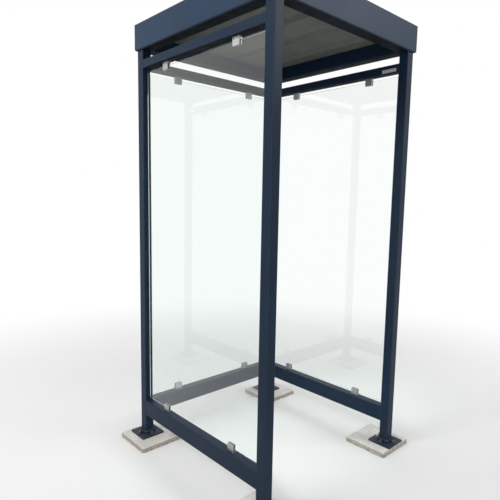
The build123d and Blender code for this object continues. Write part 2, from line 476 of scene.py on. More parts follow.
def coat_material(name, colour, settings, dust, roughness, relief):
    """Powder coat: dimpled, a little uneven in tone, with rain runs and dust."""
    material, bench, shader = start_material(name, Specular_IOR_Level=0.11)
    tone = bench.effect("Soft Patches", Scale=1.7, Detail=4.0)
    grain = bench.effect("Soft Patches", Scale=420.0, Detail=1.0, Low=0.3, High=0.7)
    runs = bench.effect("Rain Runs", Scale=70.0, Share=0.55)
    settled = bench.effect("Settled Dust", Reach=settings.splash_reach, Scale=26.0, **dust)
    rubbed = bench.effect("Hair Scratches", Scale=60.0, Width=0.01, Stretch=(1.0, 1.0, 0.05))
    arris_highlight = bench.effect("Arris Highlight And Wear", Scale=22.0)
    underside_shade = bench.effect("Painted Underside Shade")
    paint = bench.layered(
        bench.tint(tone, shade(colour, 0.9), shade(colour, 1.1)),
        (grain, 0.16, shade(colour, 1.45)),
        (runs, 0.07, shade(settings.dust_colour, 0.8)),
        (rubbed, 0.08, shade(colour, 2.6)),
        # painted highlight along the rounded edges, with coat rubbed thin
        (arris_highlight, 0.6, shade(settings.arris_highlight_colour)))
    # Painted shade: downward faces darkened towards a tenth of the colour, and made duller through the
    # roughness below
    paint = bench.tint(underside_shade, paint, shade(colour, 0.1))
    bench.feed(shader.inputs["Base Color"], bench.tint(settled, paint, shade(settings.dust_colour)))
    dull = bench.added(roughness, (tone, 0.05), (runs, 0.1), (settled, 0.45), (arris_highlight, -0.1), (underside_shade, 0.45))
    bench.feed(shader.inputs["Roughness"], dull)
    dimples = bench.effect("Orange Peel", Size=settings.peel_size)
    bump(bench, shader, bench.added(dimples, (rubbed, -0.3), (settled, 0.5)), relief)
    return material


def sheet_material(name, colour, settings, waves, specular, underside_shade_share):
    """Coated sheet: flat and even, with the slow waves of folded metal and a fine emboss."""
    material, bench, shader = start_material(name, Specular_IOR_Level=specular)
    tone = bench.effect("Soft Patches", Scale=2.3, Detail=5.0)
    fine = bench.effect("Soft Patches", Scale=520.0, Detail=1.0, Low=0.3, High=0.7)
    runs = bench.effect("Rain Runs", Scale=42.0, Share=0.5)
    settled = bench.effect("Settled Dust", Lying=0.45, Splashed=0.0, Scale=11.0)
    arris_highlight = bench.effect("Arris Highlight And Wear", Scale=15.0)
    underside_shade = bench.effect("Painted Underside Shade")
    # The last layer is painted shade: downward faces darkened towards a tenth of the colour
    paint = bench.layered(
        bench.tint(tone, shade(colour, 0.92), shade(colour, 1.08)),
        (fine, 0.12, shade(colour, 1.4)),
        (runs, 0.045, shade(settings.dust_colour, 0.8)),
        # painted highlight along the folded edges, with coat rubbed thin
        (arris_highlight, 0.4, shade(settings.arris_highlight_colour)),
        (underside_shade, underside_shade_share, shade(colour, 0.1)))
    bench.feed(shader.inputs["Base Color"], bench.tint(settled, paint, shade(settings.dust_colour)))
    dull = bench.added(0.36, (runs, 0.07), (settled, 0.4), (underside_shade, 0.35), (tone, 0.06))
    bench.feed(shader.inputs["Roughness"], dull)
    slow = bench.noise(bench.place(), 2.6, 1.0, 0.4)
    emboss = bench.times(bench.effect("Orange Peel", Size=0.0014), 0.00003)
    bump(bench, shader, bench.added(emboss, (slow, waves)), 1.0)
    return material


def glass_material(settings):
    """Clear float glass: faint smears and dried drops, green in its depth, and lamps pass through it."""
    plain = {"Transmission_Weight": 1.0, "IOR": 1.5, "Metallic": 0.0}
    material, bench, shader = start_material("Clear glass", **plain)
    sockets = material.node_tree.nodes["Material Output"].inputs
    clear = settings.glass_tint
    smears = bench.effect("Soft Patches", Scale=3.0, Detail=5.0, Low=0.45, High=0.75, Stretch=(1.0, 1.0, 0.4))
    drops = bench.effect("Scattered Specks", Scale=110.0, Size=0.22, Share=0.05)
    bench.feed(shader.inputs["Base Color"], bench.layered(shade(clear), (drops, 0.25, shade(clear, 0.86))))
    bench.feed(shader.inputs["Roughness"], bench.added(bench.times(smears, 0.004), (drops, 0.03)))
    passing = bench.filled("ShaderNodeBsdfTransparent", {"Color": shade(clear, 0.94)})
    lamp_ray = bench.add("ShaderNodeLightPath").outputs["Is Shadow Ray"]
    mixed = bench.filled("ShaderNodeMixShader", {0: lamp_ray, 1: shader.outputs[0], 2: passing.outputs[0]})
    bench.feed(sockets["Surface"], mixed.outputs[0])
    depth = bench.filled("ShaderNodeVolumeAbsorption", {"Color": (0.45, 0.88, 0.72, 1.0), "Density": 2.5})
    bench.feed(sockets["Volume"], depth.outputs[0])
    return material


def metal_material(name, colour, roughness, mottle, relief, brushed=(1.0, 1.0, 1.0), glinting=None):
    """Bare metal: fine brushed lines, mottled tone and pits, and a painted highlight round one place, a glint
    as on a nut that catches the light.
    """
    material, bench, shader = start_material(name, Metallic=1.0)
    lines = bench.effect("Soft Patches", Scale=900.0, Detail=2.0, Low=0.25, High=0.75, Stretch=brushed)
    spots = bench.effect("Soft Patches", Scale=150.0, Detail=4.0)
    pits = bench.effect("Scattered Specks", Scale=900.0, Size=0.35, Share=0.12)
    rubbed = bench.effect("Hair Scratches", Scale=420.0, Width=0.02, Stretch=(0.3, 1.0, 1.0))
    tone = bench.layered(
        bench.tint(spots, shade(colour, 1.0 - mottle), shade(colour, 1.0 + mottle)),
        (lines, 0.25, shade(colour, 0.8)),
        (pits, 0.5, shade(colour, 0.45)))
    # Painted highlight: the zinc turns to the glint colour within two centimetres of one spot, fading out by
    # three
    if glinting:
        spot, glint_colour = glinting
        glint_edge, glint_core = 0.03, 0.02
        ends = {0: bench.place(), 1: spot}
        gap = bench.filled("ShaderNodeVectorMath", ends, operation="DISTANCE").outputs["Value"]
        tone = bench.tint(bench.span(gap, glint_edge, glint_core), tone, shade(glint_colour))
    bench.feed(shader.inputs["Base Color"], tone)
    bench.feed(shader.inputs["Roughness"], bench.added(roughness, (spots, 0.1), (pits, 0.25)))
    bump(bench, shader, bench.added(bench.times(lines, 0.4), (pits, -1.0), (rubbed, -0.6)), relief)
    return material


def rubber_material(colour):
    """Matt moulded rubber with a dusty bloom."""
    material, bench, shader = start_material("Gasket rubber", Specular_IOR_Level=0.35)
    bloom = bench.effect("Soft Patches", Scale=130.0, Detail=4.0)
    grit = bench.effect("Scattered Specks", Scale=1100.0, Size=0.4, Share=0.3)
    bench.feed(shader.inputs["Base Color"], bench.tint(bloom, shade(colour, 0.8), shade(colour, 1.9)))
    bench.feed(shader.inputs["Roughness"], bench.added(0.62, (bloom, 0.2)))
    bump(bench, shader, bench.added(grit, (bloom, 0.5)), 0.00005)
    return material


def concrete_material(colour, earth, stone_size):
    """Cast concrete: pale sandy top, stones, pits and stains, with earth clinging to the sides."""
    material, bench, shader = start_material("Cast concrete", Specular_IOR_Level=0.3)
    scale = 0.55 / stone_size
    paste = bench.effect("Soft Patches", Scale=14.0, Detail=7.0, Low=0.3, High=0.7)
    stain = bench.effect("Soft Patches", Scale=7.0, Detail=6.0, Low=0.48, High=0.68)
    sand = bench.effect("Soft Patches", Scale=620.0, Detail=2.0, Low=0.3, High=0.7)
    dark_stone = bench.effect("Scattered Specks", Scale=scale, Size=0.42, Share=0.16)
    pale_stone = bench.effect("Scattered Specks", Scale=scale * 1.37, Size=0.4, Share=0.14)
    pit = bench.effect("Scattered Specks", Scale=scale * 2.3, Size=0.3, Share=0.1)
    clods = bench.effect("Soft Patches", Scale=90.0, Detail=5.0, Low=0.35, High=0.6)
    side = bench.span(bench.height(bench.normal()), 0.85, 0.3)
    soil = bench.times(side, bench.added(0.42, (clods, 0.5)))
    tone = bench.layered(
        bench.tint(paste, shade(colour, 0.84), shade(colour, 1.14)),
        (sand, 0.3, shade(colour, 0.72)),
        (dark_stone, 0.35, shade(colour, 0.5)),
        (pale_stone, 0.5, shade(colour, 1.35)),
        (stain, 0.5, shade(earth, 1.7)))
    tone = bench.layered(bench.tint(soil, tone, shade(earth)), (pit, 0.7, shade(colour, 0.3)))
    bench.feed(shader.inputs["Base Color"], tone)
    bench.feed(shader.inputs["Roughness"], bench.added(0.82, (paste, 0.12)))
    lumps = bench.noise(bench.place(), 70.0, 5.0, 0.6)
    stones = bench.plus(dark_stone, pale_stone)
    height = bench.added(bench.times(sand, 0.2), (lumps, 1.1), (stones, 0.25), (soil, 0.8), (pit, -1.2))
    bump(bench, shader, height, 0.0011)
    return material


def each(kind, places):
    """Names of the like nodes at some places."""
    return [f"{kind}_{place}" for place in places]


def finish_nodes(material, *names):
    """Give CAD nodes a finish through their material slots."""
    for name in names:
        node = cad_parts[name]
        if not node.material_slots:
            raise RuntimeError(f"{name} has no material slot")
        for slot in node.material_slots:
            slot.material = material


# Small pieces


def ring(kind, size, z, segments):
    """A closed ring of points: round by its radius, or hexagonal by its width across flats."""
    points = []
    for index in range(segments):
        angle = 2 * math.pi * index / segments
        radius = size
        if kind == "hexagon":
            radius = size / 2 / math.cos((angle + math.pi / 6) % (math.pi / 3) - math.pi / 6)
        points.append(Vector((radius * math.cos(angle), radius * math.sin(angle), z)))
    return points


def mesh_from(shell, name):
    """Turn finished mesh work into a mesh."""
    mesh = bpy.data.meshes.new(name)
    shell.to_mesh(mesh)
    shell.free()
    return mesh


def skinned(name, rings, closed=False, sharp=35):
    """A mesh over a row of rings, shut by flat ends, or closed on itself as a washer is."""
    shell = bmesh.new()
    rows = [[shell.verts.new(point) for point in row] for row in rings]
    pairs = list(zip(rows, rows[1:]))
    if closed:
        pairs.append((rows[-1], rows[0]))
    else:
        shell.faces.new(list(reversed(rows[0])))
        shell.faces.new(rows[-1])
    for lower, upper in pairs:
        for index in range(len(lower)):
            after = (index + 1) % len(lower)
            shell.faces.new((lower[index], lower[after], upper[after], upper[index]))
    bmesh.ops.recalc_face_normals(shell, faces=shell.faces)
    mesh = mesh_from(shell, name)
    mesh.shade_smooth()
    mesh.set_sharp_from_angle(angle=math.radians(sharp))
    return mesh


def turned(name, segments, rows, closed=False, sharp=35):
    """A mesh over rings, each given as its kind, its size and its height."""
    return skinned(name, [ring(*row, segments) for row in rows], closed, sharp)


def placed(name, mesh):
    """Put a mesh into the scene as an object."""
    piece = bpy.data.objects.new(name, mesh)
    bpy.context.scene.collection.objects.link(piece)
    return piece


def joined(name, meshes):
    """One mesh out of several that keep their places."""
    whole = bmesh.new()
    for mesh in meshes:
        whole.from_mesh(mesh)
        bpy.data.meshes.remove(mesh)
    return mesh_from(whole, name)


def nut_mesh(settings):
    """Hexagon nut with its corners turned off at the top and a countersunk bore."""
    width, bore, foot = settings.nut_width, settings.anchor_diameter / 2, settings.washer_thickness
    top, crown, segments = foot + settings.nut_height, width / 2 * 0.96, 48
    shoulder = ring("hexagon", width, top, segments)
    for point in shoulder:
        point.z -= (point.xy.length - crown) * math.tan(math.radians(30))
    rings = [
        ring("round", bore, foot, segments),
        ring("hexagon", width * 0.97, foot, segments),
        ring("hexagon", width, foot + 0.0004, segments),
        shoulder,
        ring("round", crown, top, segments),
        ring("round", bore * 1.12, top, segments),
        ring("round", bore, top - bore * 0.12, segments),
    ]
    return skinned("nut", rings, closed=True, sharp=28)


def washer_mesh(width, bore, thickness):
    """Flat washer with its outer edges broken."""
    inner, outer, edge = bore / 2, width / 2, thickness * 0.18
    return turned("washer", 40, (
        ("round", inner, 0),
        ("round", outer - edge, 0),
        ("round", outer, edge),
        ("round", outer, thickness - edge),
        ("round", outer - edge, thickness),
        ("round", inner, thickness),
    ), closed=True)


def stud_mesh(settings, below):
    """Threaded rod with a plain foot, a helical thread and a turned end."""
    pitch, crest = settings.anchor_pitch, settings.anchor_diameter / 2 * 0.99
    root = crest - pitch * 0.55
    start = settings.washer_thickness
    top = start + settings.nut_height + settings.anchor_tail
    segments, rows = 24, int((top - start) / pitch * 2)
    rings = [ring("round", crest, -below, segments), ring("round", crest, start * 0.5, segments)]
    for row in range(rows):
        points = ring("round", crest if row % 2 else root, start + row * pitch / 2, segments)
        for index, point in enumerate(points):
            point.z += pitch * index / segments
        rings.append(points)
    end = ring("round", root, top - 0.0006, segments)
    rings = [points for points in rings if max(point.z for point in points) < top - 0.0008]
    rings += [end, ring("round", root * 0.86, top, segments)]
    return skinned("stud", rings, sharp=50)


def socket_screw_mesh(width):
    """Low domed screw head with a hexagon socket."""
    radius = width / 2
    return turned("socket screw", 36, (
        ("round", radius, -0.0004),
        ("round", radius, 0.0005),
        ("round", radius * 0.9, 0.0011),
        ("round", radius * 0.66, 0.0016),
        ("hexagon", radius * 0.86, 0.0016),
        ("hexagon", radius * 0.84, 0.0002),
    ), sharp=32)


def deck_screw_mesh(width, lift):
    """Hexagon head with a pressed flange, as on a screw that drills its own hole."""
    return turned("deck screw", 36, (
        ("round", width * 0.8, lift),
        ("round", width * 0.82, lift + 0.0007),
        ("round", width * 0.64, lift + 0.0012),
        ("hexagon", width, lift + 0.0014),
        ("hexagon", width, lift + 0.0046),
        ("round", width * 0.46, lift + 0.0053),
        ("round", width * 0.3, lift + 0.005),
    ), sharp=30)


def rivet_mesh(width):
    """Domed blind rivet with the hollow its pin leaves."""
    radius = width / 2
    return turned("rivet", 28, (
        ("round", radius, -0.0002),
        ("round", radius, 0.0002),
        ("round", radius * 0.85, 0.0006),
        ("round", radius * 0.5, 0.00095),
        ("round", radius * 0.3, 0.00095),
        ("round", radius * 0.26, 0.0004),
    ), sharp=32)


def gridded_box(size, cell):
    """A closed box round the origin, with each face divided into cells."""
    shell = bmesh.new()
    for axis in range(3):
        first, second = (axis + 1) % 3, (axis + 2) % 3
        across, along = (max(2, round(size[way] / cell)) for way in (first, second))
        for sign in (-1, 1):
            rows = []
            for i in range(across + 1):
                row = []
                for j in range(along + 1):
                    point = Vector((0, 0, 0))
                    point[axis] = sign * size[axis] / 2
                    point[first] = (i / across - 0.5) * size[first]
                    point[second] = (j / along - 0.5) * size[second]
                    row.append(shell.verts.new(point))
                rows.append(row)
            for near, far in zip(rows, rows[1:]):
                for j in range(along):
                    shell.faces.new((near[j], far[j], far[j + 1], near[j + 1]))
    bmesh.ops.remove_doubles(shell, verts=shell.verts, dist=cell / 100)
    return shell


def block_mesh(low, high, settings, shift):
    """A cast block: its edges worn round and chipped, its faces slightly uneven, its underside flat."""
    chip_grain, chip_limit, chip_depth = 42.0, 0.12, 2.4
    face_grain, face_depth = 95.0, 0.00035
    cell, worn = settings.block_grain, settings.block_wear
    half, middle, chipped = (high - low) / 2, (low + high) / 2, worn * 4
    inner = half - Vector((worn, worn, worn))
    shell = gridded_box(high - low, cell)
    for vert in shell.verts:
        point = vert.co.copy()
        core = Vector([max(-inner[k], min(inner[k], point[k])) for k in range(3)])
        out = (point - core).normalized()
        from_edge = sorted(half[k] - abs(point[k]) for k in range(3))[1]
        if point.z > worn - half.z:
            point = core + out * worn
        place = point + shift
        chip = max(0.0, noise.noise(place * chip_grain) - chip_limit) * max(0.0, 1.0 - from_edge / chipped)
        uneven = 0.5 + 0.5 * noise.noise(place * face_grain)
        inward = -(point.normalized() if from_edge < chipped else out)
        moved = point + inward * (chip * worn * chip_depth + uneven * face_depth)
        if point.z < cell / 100 - half.z:
            moved.z = point.z
        vert.co = Vector([max(-half[k], min(half[k], moved[k])) for k in range(3)]) + middle
    bmesh.ops.recalc_face_normals(shell, faces=shell.faces)
    mesh = mesh_from(shell, "cast block")
    mesh.shade_smooth()
    return mesh


def label_mesh(middle, length, height, thickness):
    """A thin plate on a rail's left face, with round corners and a broken rim."""
    corner_radius, rim_width = 0.002, 0.0003
    plate = bmesh.new()
    bmesh.ops.create_cube(plate, size=1.0)
    for vert in plate.verts:
        vert.co.x = middle.x + (vert.co.x - 0.5) * thickness
        vert.co.y = middle.y + vert.co.y * length
        vert.co.z = middle.z + vert.co.z * height
    through = [edge for edge in plate.edges if edge.calc_length() < thickness * 1.5]
    bmesh.ops.bevel(plate, geom=through, offset=corner_radius, segments=5, affect="EDGES")
    rim = [edge for edge in plate.edges if all(vert.co.x < middle.x - thickness / 2 for vert in edge.verts)]
    bmesh.ops.bevel(plate, geom=rim, offset=rim_width, segments=2, affect="EDGES")
    bmesh.ops.recalc_face_normals(plate, faces=plate.faces)
    return mesh_from(plate, "label_plate")


def line_mesh(loops, cut):
    """Closed lines, each round four corners that are cut off at 45 degrees."""
    points, edges = [], []
    for corners in loops:
        start = len(points)
        for index, corner in enumerate(corners):
            for other in (corners[index - 1], corners[(index + 1) % 4]):
                points.append(tuple(corner + (other - corner).normalized() * cut))
        edges.extend((start + n, start + (n + 1) % 8) for n in range(8))
    mesh = bpy.data.meshes.new("weld lines")
    mesh.from_pydata(points, edges, [])
    return mesh


# Repeats

FASTENER_INPUTS = {"Fastener": "Object", "Loosest Turn": "Float", "Seed": "Int"}


def modifier_tree(name, sockets):
    """Start a Geometry Nodes tree from the kinds of its named inputs."""
    tree = bpy.data.node_groups.new(name, "GeometryNodeTree")
    tree.interface.new_socket("Geometry", in_out="INPUT", socket_type="NodeSocketGeometry")
    for label, kind in sockets.items():
        tree.interface.new_socket(label, in_out="INPUT", socket_type="NodeSocket" + kind)
    tree.interface.new_socket("Geometry", in_out="OUTPUT", socket_type="NodeSocketGeometry")
    return opened(tree)


def closing_nodes(bench, geometry, material, result):
    """Realize the instances, set the finish and send the geometry out."""
    real = bench.filled("GeometryNodeRealizeInstances", {"Geometry": geometry})
    coated = bench.filled("GeometryNodeSetMaterial", {"Geometry": real.outputs[0], "Material": material})
    bench.feed(result, coated.outputs[0])


def squared(bench):
    """The turn that sets an instance square to its point's facing."""
    facing = bench.filled("GeometryNodeInputNamedAttribute", {"Name": "facing"}, data_type="FLOAT_VECTOR")
    inputs = {"Vector": facing.outputs[0]}
    return bench.filled("FunctionNodeAlignRotationToVector", inputs, axis="Z").outputs[0]


def placing_group():
    """An instance of a fastener on every point, set square to its facing and turned by chance about it."""
    bench, given, result = modifier_tree("Placed Fasteners", FASTENER_INPUTS)
    limits = {3: given["Loosest Turn"], "Seed": given["Seed"]}
    chance = bench.filled("FunctionNodeRandomValue", limits, data_type="FLOAT")
    turn = bench.filled("FunctionNodeAxisAngleToRotation", {"Axis": (0, 0, 1), "Angle": chance.outputs[1]})
    turns = {"Rotation": squared(bench), "Rotate By": turn.outputs[0]}
    both = bench.filled("FunctionNodeRotateRotation", turns, rotation_space="LOCAL")
    source = bench.filled("GeometryNodeObjectInfo", {"Object": given["Fastener"]})
    spots = {"Points": given["Geometry"], "Instance": source.outputs["Geometry"], "Rotation": both.outputs[0]}
    bench.feed(result, bench.filled("GeometryNodeInstanceOnPoints", spots).outputs[0])
    return bench.tree


def placed_fasteners(bench, points, given):
    """Use the placing group on some points, with the tree's own inputs."""
    group = bpy.data.node_groups.get("Placed Fasteners") or placing_group()
    inputs = {"Geometry": points, **{label: given[label] for label in FASTENER_INPUTS}}
    return bench.filled("GeometryNodeGroup", inputs, node_tree=group).outputs[0]


def fastener_tree():
    """One fastener on every point."""
    bench, given, result = modifier_tree("Single Fasteners", {**FASTENER_INPUTS, "Finish": "Material"})
    closing_nodes(bench, placed_fasteners(bench, given["Geometry"], given), given["Finish"], result)
    return bench.tree


def circle_tree():
    """A circle of fasteners round every point."""
    sockets = {"Circle Diameter": "Float", "Count": "Int", **FASTENER_INPUTS, "Finish": "Material"}
    bench, given, result = modifier_tree("Fasteners In Circles", sockets)
    radius = bench.times(given["Circle Diameter"], 0.5)
    circle = bench.filled("GeometryNodeMeshCircle", {"Vertices": given["Count"], "Radius": radius})
    spots = {"Points": given["Geometry"], "Instance": circle.outputs[0], "Rotation": squared(bench)}
    circles = bench.filled("GeometryNodeInstanceOnPoints", spots)
    points = bench.filled("GeometryNodeRealizeInstances", {"Geometry": circles.outputs[0]})
    closing_nodes(bench, placed_fasteners(bench, points.outputs[0], given), given["Finish"], result)
    return bench.tree


def weld_tree():
    """A rippled bead along every line of a mesh, three steps to a ripple."""
    sockets = {
        "Bead Radius": "Float", "Ripple": "Float", "Ripple Height": "Float",
        "Seed": "Int", "Finish": "Material",
    }
    bench, given, result = modifier_tree("Weld Beads", sockets)
    path = bench.filled("GeometryNodeMeshToCurve", {"Mesh": given["Geometry"]})
    steps = {"Curve": path.outputs[0], "Length": bench.times(given["Ripple"], 0.3333)}
    even = bench.filled("GeometryNodeResampleCurve", steps, mode="LENGTH")
    index = bench.add("GeometryNodeInputIndex").outputs[0]
    wave = bench.times(bench.sum("MODULO", index, 3.0), given["Ripple Height"])
    limits = {2: 0.84, 3: 1.0, "Seed": given["Seed"]}
    chance = bench.filled("FunctionNodeRandomValue", limits, data_type="FLOAT")
    outline = {"Resolution": 8, "Radius": given["Bead Radius"]}
    profile = bench.filled("GeometryNodeCurvePrimitiveCircle", outline)
    swept = {
        "Curve": even.outputs[0], "Profile Curve": profile.outputs[0],
        "Scale": bench.plus(wave, chance.outputs[1]),
    }
    bead = bench.filled("GeometryNodeCurveToMesh", swept)
    smooth = bench.filled("GeometryNodeSetShadeSmooth", {"Geometry": bead.outputs[0]})
    closing_nodes(bench, smooth.outputs[0], given["Finish"], result)
    return bench.tree


def grown(name, base, tree, values):
    """Run a tree on a mesh and keep its result as a plain piece that rides on the frame."""
    carrier = placed(name + "_points", base)
    modifier = carrier.modifiers.new("Repeat", "NODES")
    modifier.node_group = tree
    for item in tree.interface.items_tree:
        if item.in_out == "INPUT" and item.name in values:
            modifier[item.identifier] = values[item.name]
    carrier.update_tag()
    graph = bpy.context.evaluated_depsgraph_get()
    mesh = bpy.data.meshes.new_from_object(carrier.evaluated_get(graph))
    bpy.data.objects.remove(carrier)
    if not mesh.polygons:
        raise RuntimeError(f"{name} came out empty")
    mesh.name = name
    if "facing" in mesh.attributes:
        mesh.attributes.remove(mesh.attributes["facing"])
    piece = placed(name, mesh)
    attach(piece, "root")
    return piece


def facing_points(rows):
    """A mesh of loose points, each with the way its fastener faces."""
    mesh = bpy.data.meshes.new("spots")
    mesh.from_pydata([tuple(point) for point, _ in rows], [], [])
    facing = mesh.attributes.new("facing", "FLOAT_VECTOR", "POINT")
    for index, (_, way) in enumerate(rows):
        facing.data[index].vector = way
    return mesh


def fastened(name, mesh, rows, material, settings):
    """Set one kind of fastener at every place in rows."""
    source = placed(name + "_source", mesh)
    values = {"Fastener": source, "Loosest Turn": math.tau, "Finish": material, **settings}
    if "Count" in settings:
        tree = circle_tree()
    else:
        tree = bpy.data.node_groups.get("Single Fasteners") or fastener_tree()
    piece = grown(name, facing_points(rows), tree, values)
    bpy.data.objects.remove(source)
    return piece


def clamp_spots(side):
    """Where each clamp cover's outer face meets its rail, with the ways outward, along and off the rail."""
    low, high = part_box(f"clamp_covers_{side}")
    outward = OUTWARD[side]
    along = UP.cross(outward)
    reach = (high - low) / 2
    half = abs(reach.dot(along)) - CLAMP_WIDTH / 2
    face = (low + high) / 2 + outward * abs(reach.dot(outward))
    rows = []
    for sign in (-1, 1):
        for end, away in ((low.z, UP), (high.z, -UP)):
            spot = face + along * half * sign
            rows.append((Vector((spot.x, spot.y, end)), outward, along, away))
    return rows


# Operators


class SHELTER_OT_coat_frame(bpy.types.Operator):
    """Powder coat the posts, rails, beams and base plates"""

    bl_idname = "shelter.coat_frame"
    bl_label = "Coat Frame"

    def execute(self, context):
        paint = context.scene.shelter_paint
        colour = tuple(paint.frame_colour)
        coat = coat_material(
            "Frame powder coat", colour, paint,
            dust={"Lying": 0.03, "Splashed": 0.1}, roughness=0.33, relief=0.00003)
        rails = each("bottom_rail", GLAZED_SIDES) + each("top_rail", GLAZED_SIDES)
        finish_nodes(coat, *rails, *each("post", CORNERS), *each("roof_beam", SIDES))
        dusty_coat = coat_material(
            "Base plate powder coat", colour, paint,
            dust={"Lying": 0.12, "Splashed": 0.16}, roughness=0.38, relief=0.00004)
        finish_nodes(dusty_coat, *each("base_plate", CORNERS))
        return {"FINISHED"}


class SHELTER_OT_coat_roof(bpy.types.Operator):
    """Finish the folded fascia and the ribbed roof deck"""

    bl_idname = "shelter.coat_roof"
    bl_label = "Coat Roof"

    def execute(self, context):
        paint = context.scene.shelter_paint
        # Both sheets get painted shade on downward faces, full on the fascia and weaker on the deck
        fascia = sheet_material(
            "Fascia sheet", tuple(paint.fascia_colour), paint, waves=0.0006, specular=0.12, underside_shade_share=1.0)
        finish_nodes(fascia, *each("fascia", SIDES))
        deck = sheet_material(
            "Deck sheet", tuple(paint.deck_colour), paint, waves=0.0003, specular=0.16, underside_shade_share=0.4)
        finish_nodes(deck, "roof_deck")
        return {"FINISHED"}


class SHELTER_OT_glaze(bpy.types.Operator):
    """Finish the clear panes and the rubber that holds them"""

    bl_idname = "shelter.glaze"
    bl_label = "Glaze"

    def execute(self, context):
        mineral = context.scene.shelter_mineral
        finish_nodes(glass_material(mineral), *each("glass", GLAZED_SIDES))
        finish_nodes(rubber_material(mineral.rubber_colour), *each("clamp_gaskets", GLAZED_SIDES))
        return {"FINISHED"}


class SHELTER_OT_finish_clamps(bpy.types.Operator):
    """Finish the glass clamps in satin metal"""

    bl_idname = "shelter.finish_clamps"
    bl_label = "Finish Clamps"

    def execute(self, context):
        metal = metal_material(
            "Clamp satin metal", tuple(context.scene.shelter_metal.clamp_colour),
            roughness=0.34, mottle=0.06, relief=0.00002, brushed=(1.0, 1.0, 0.06))
        finish_nodes(metal, *each("clamp_bodies", GLAZED_SIDES), *each("clamp_covers", GLAZED_SIDES))
        return {"FINISHED"}


class SHELTER_OT_cast_blocks(bpy.types.Operator):
    """Cast the four concrete blocks with worn and chipped edges"""

    bl_idname = "shelter.cast_blocks"
    bl_label = "Cast Concrete Blocks"

    def execute(self, context):
        settings = context.scene.shelter_mineral
        concrete = concrete_material(settings.concrete_colour, settings.earth_colour, settings.stone_size)
        for number, corner in enumerate(CORNERS):
            node = f"footing_{corner}"
            low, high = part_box(node)
            chip_place = Vector((number * 3.7, number * 1.9, 0.5))
            mesh = block_mesh(low, high, settings, chip_place)
            mesh.materials.append(concrete)
            block = placed(f"cast_block_{corner}", mesh)
            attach(block, "root")
            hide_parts(node)
        return {"FINISHED"}


class SHELTER_OT_add_anchors(bpy.types.Operator):
    """Set threaded anchors, washers and nuts on the base plates"""

    bl_idname = "shelter.add_anchors"
    bl_label = "Add Anchors"

    def execute(self, context):
        sizes = context.scene.shelter_fasteners
        metal = context.scene.shelter_metal
        low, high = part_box("base_plate_front_right")
        plate_top = low.z + PLATE_THICKNESS
        # The glint is painted round the nut at the rear edge of the front right plate
        rear_nut = ((low.x + high.x) / 2, (low.y + high.y + sizes.anchor_circle) / 2, plate_top)
        zinc = metal_material(
            "Galvanised steel", tuple(metal.zinc_colour),
            roughness=0.42, mottle=0.16, relief=0.00004, glinting=(rear_nut, tuple(metal.glint_zinc_colour)))
        set_in_block = 0.02
        block_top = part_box("footing_front_right")[1].z
        stud = stud_mesh(sizes, low.z - block_top + set_in_block)
        washer_bore = sizes.anchor_diameter * 1.08
        washer = washer_mesh(sizes.washer_width, washer_bore, sizes.washer_thickness)
        whole = joined("anchor", [nut_mesh(sizes), washer, stud])
        rows = []
        for corner in CORNERS:
            low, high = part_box(f"base_plate_{corner}")
            middle = (low + high) / 2
            rows.append((Vector((middle.x, middle.y, plate_top)), UP))
        circle = {"Circle Diameter": sizes.anchor_circle, "Count": sizes.anchor_count, "Seed": 11}
        fastened("anchor_sets", whole, rows, zinc, circle)
        return {"FINISHED"}


class SHELTER_OT_add_clamp_screws(bpy.types.Operator):
    """Set two socket screws in the outer plate of every glass clamp"""

    bl_idname = "shelter.add_clamp_screws"
    bl_label = "Add Clamp Screws"

    def execute(self, context):
        sizes = context.scene.shelter_fasteners
        black = metal_material(
            "Blackened screw", tuple(context.scene.shelter_metal.screw_colour),
            roughness=0.4, mottle=0.2, relief=0.00002)
        rows = []
        for side in GLAZED_SIDES:
            for spot, outward, along, away in clamp_spots(side):
                for sign in (-1, 1):
                    offset = along * sizes.clamp_screw_spacing / 2 * sign + away * sizes.clamp_screw_lift
                    rows.append((spot + offset, outward))
        mesh = socket_screw_mesh(sizes.clamp_screw_width)
        fastened("clamp_screws", mesh, rows, black, {"Seed": 23})
        return {"FINISHED"}


class SHELTER_OT_add_deck_screws(bpy.types.Operator):
    """Fix the roof deck to the beams with sealed hexagon screws"""

    bl_idname = "shelter.add_deck_screws"
    bl_label = "Add Deck Screws"

    def execute(self, context):
        side_spacing, seal_thickness, seal_bore = 0.285, 0.0024, 0.004
        width = context.scene.shelter_fasteners.deck_screw_width
        deck_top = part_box("roof_deck")[0].z + DECK_SHEET
        beam_low, beam_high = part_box("roof_beam_front")
        line = (beam_high.y + beam_low.y) / 2
        rows = []
        for rib in range(-2, 3):
            rows += [(Vector((rib * RIB_PITCH, y, deck_top)), UP) for y in (line, -line)]
        for step in (-1, 0, 1):
            rows += [(Vector((x, step * side_spacing, deck_top)), UP) for x in (line, -line)]
        zinc = bpy.data.materials["Galvanised steel"]
        rubber = bpy.data.materials["Gasket rubber"]
        seal = washer_mesh(width * 1.9, seal_bore, seal_thickness)
        fastened("deck_screw_seals", seal, rows, rubber, {"Seed": 31})
        screw = deck_screw_mesh(width, seal_thickness)
        fastened("deck_screws", screw, rows, zinc, {"Seed": 37})
        return {"FINISHED"}


